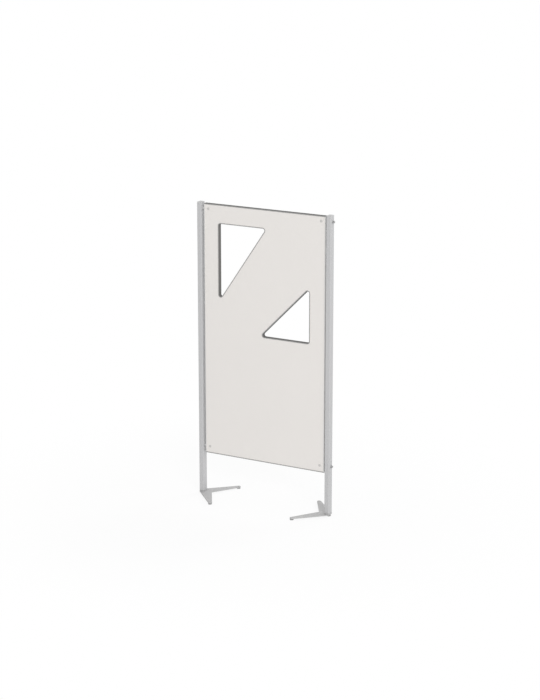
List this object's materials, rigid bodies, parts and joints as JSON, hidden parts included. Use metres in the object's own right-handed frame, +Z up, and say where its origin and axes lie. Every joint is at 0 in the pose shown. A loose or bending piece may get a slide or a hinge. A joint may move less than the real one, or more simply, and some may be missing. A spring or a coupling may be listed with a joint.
{
  "type": "room divider",
  "caption": "Free-standing room divider: tall laminated panel with two triangular windows, bolted between two tube posts on V-shaped feet with levelling glides.",
  "frame": {"origin": "on the floor, midway between the two posts, on the posts' axes", "axes": "+Z up, X along the panel, front of the panel faces -Y"},
  "size_m": [0.9104, 0.3606, 1.796],
  "materials": {
    "silver_paint": "satin silver-grey powder coat",
    "cap_plastic": "light grey moulded plastic",
    "core_board": "raw particle board, hidden",
    "panel_sheet": "off-white laminate, fine matt grain",
    "edge_trim": "mid grey extruded edge profile",
    "side_trim": "light grey extruded edge profile",
    "zinc_steel": "bright zinc plate",
    "bolt_steel": "dark zinc plate",
    "cover_plastic": "light grey moulded plastic",
    "glide_plastic": "grey moulded plastic"
  },
  "bodies": {
    "stand": {"back_sheet": "panel_sheet", "bottom_edge_trim": "edge_trim", "front_sheet": "panel_sheet", "left_back_foot_screw": "zinc_steel", "left_edge_trim": "side_trim", "left_end_block": "zinc_steel", "left_foot_plate": "silver_paint", "left_front_foot_screw": "zinc_steel", "left_lower_back_cover": "cover_plastic", "left_lower_barrel_nut": "zinc_steel", "left_lower_connector_bolt": "bolt_steel", "left_lower_front_cover": "cover_plastic", "left_lower_spacer_sleeve": "zinc_steel", "left_lower_washer": "bolt_steel", "left_post": "silver_paint", "left_post_cap": "cap_plastic", "left_upper_back_cover": "cover_plastic", "left_upper_barrel_nut": "zinc_steel", "left_upper_connector_bolt": "bolt_steel", "left_upper_front_cover": "cover_plastic", "left_upper_spacer_sleeve": "zinc_steel", "left_upper_washer": "bolt_steel", "lower_window_trim": "edge_trim", "panel_core": "core_board", "right_back_foot_screw": "zinc_steel", "right_edge_trim": "side_trim", "right_end_block": "zinc_steel", "right_foot_plate": "silver_paint", "right_front_foot_screw": "zinc_steel", "right_lower_back_cover": "cover_plastic", "right_lower_barrel_nut": "zinc_steel", "right_lower_connector_bolt": "bolt_steel", "right_lower_front_cover": "cover_plastic", "right_lower_spacer_sleeve": "zinc_steel", "right_lower_washer": "bolt_steel", "right_post": "silver_paint", "right_post_cap": "cap_plastic", "right_upper_back_cover": "cover_plastic", "right_upper_barrel_nut": "zinc_steel", "right_upper_connector_bolt": "bolt_steel", "right_upper_front_cover": "cover_plastic", "right_upper_spacer_sleeve": "zinc_steel", "right_upper_washer": "bolt_steel", "top_edge_trim": "edge_trim", "upper_window_trim": "edge_trim"},
    "left_middle_glide": {"left_middle_glide_pad": "glide_plastic"},
    "left_middle_stem": {"left_middle_glide_stem": "bolt_steel"},
    "left_front_glide": {"left_front_glide_pad": "glide_plastic"},
    "left_front_stem": {"left_front_glide_stem": "bolt_steel"},
    "left_back_glide": {"left_back_glide_pad": "glide_plastic"},
    "left_back_stem": {"left_back_glide_stem": "bolt_steel"},
    "right_middle_glide": {"right_middle_glide_pad": "glide_plastic"},
    "right_middle_stem": {"right_middle_glide_stem": "bolt_steel"},
    "right_front_glide": {"right_front_glide_pad": "glide_plastic"},
    "right_front_stem": {"right_front_glide_stem": "bolt_steel"},
    "right_back_glide": {"right_back_glide_pad": "glide_plastic"},
    "right_back_stem": {"right_back_glide_stem": "bolt_steel"}
  },
  "joints": [
    {"name": "left_middle_glide_travel", "type": "slide", "parent": "stand", "child": "left_middle_glide", "axis": [0, 0, -1], "range_m": [0, 0.005]},
    {"name": "left_middle_stem_turn", "type": "hinge", "parent": "left_middle_glide", "child": "left_middle_stem", "pos_m": [-0.4365, 0, 0.01], "axis": [0, 0, -1], "range_deg": [0, 1441]},
    {"name": "left_front_glide_travel", "type": "slide", "parent": "stand", "child": "left_front_glide", "axis": [0, 0, -1], "range_m": [0, 0.005]},
    {"name": "left_front_stem_turn", "type": "hinge", "parent": "left_front_glide", "child": "left_front_stem", "pos_m": [-0.27954, -0.16849, 0.01], "axis": [0, 0, -1], "range_deg": [0, 1441]},
    {"name": "left_back_glide_travel", "type": "slide", "parent": "stand", "child": "left_back_glide", "axis": [0, 0, -1], "range_m": [0, 0.005]},
    {"name": "left_back_stem_turn", "type": "hinge", "parent": "left_back_glide", "child": "left_back_stem", "pos_m": [-0.27954, 0.16849, 0.01], "axis": [0, 0, -1], "range_deg": [0, 1441]},
    {"name": "right_middle_glide_travel", "type": "slide", "parent": "stand", "child": "right_middle_glide", "axis": [0, 0, -1], "range_m": [0, 0.005]},
    {"name": "right_middle_stem_turn", "type": "hinge", "parent": "right_middle_glide", "child": "right_middle_stem", "pos_m": [0.4365, 0, 0.01], "axis": [0, 0, -1], "range_deg": [0, 1441]},
    {"name": "right_front_glide_travel", "type": "slide", "parent": "stand", "child": "right_front_glide", "axis": [0, 0, -1], "range_m": [0, 0.005]},
    {"name": "right_front_stem_turn", "type": "hinge", "parent": "right_front_glide", "child": "right_front_stem", "pos_m": [0.27954, -0.16849, 0.01], "axis": [0, 0, -1], "range_deg": [0, 1441]},
    {"name": "right_back_glide_travel", "type": "slide", "parent": "stand", "child": "right_back_glide", "axis": [0, 0, -1], "range_m": [0, 0.005]},
    {"name": "right_back_stem_turn", "type": "hinge", "parent": "right_back_glide", "child": "right_back_stem", "pos_m": [0.27954, 0.16849, 0.01], "axis": [0, 0, -1], "range_deg": [0, 1441]}
  ],
  "couplings": [
    {"joint": "left_middle_stem_turn", "follows": "left_middle_glide_travel", "rad_per_m": 5026.5},
    {"joint": "left_front_stem_turn", "follows": "left_front_glide_travel", "rad_per_m": 5026.5},
    {"joint": "left_back_stem_turn", "follows": "left_back_glide_travel", "rad_per_m": 5026.5},
    {"joint": "right_middle_stem_turn", "follows": "right_middle_glide_travel", "rad_per_m": 5026.5},
    {"joint": "right_front_stem_turn", "follows": "right_front_glide_travel", "rad_per_m": 5026.5},
    {"joint": "right_back_stem_turn", "follows": "right_back_glide_travel", "rad_per_m": 5026.5}
  ]
}
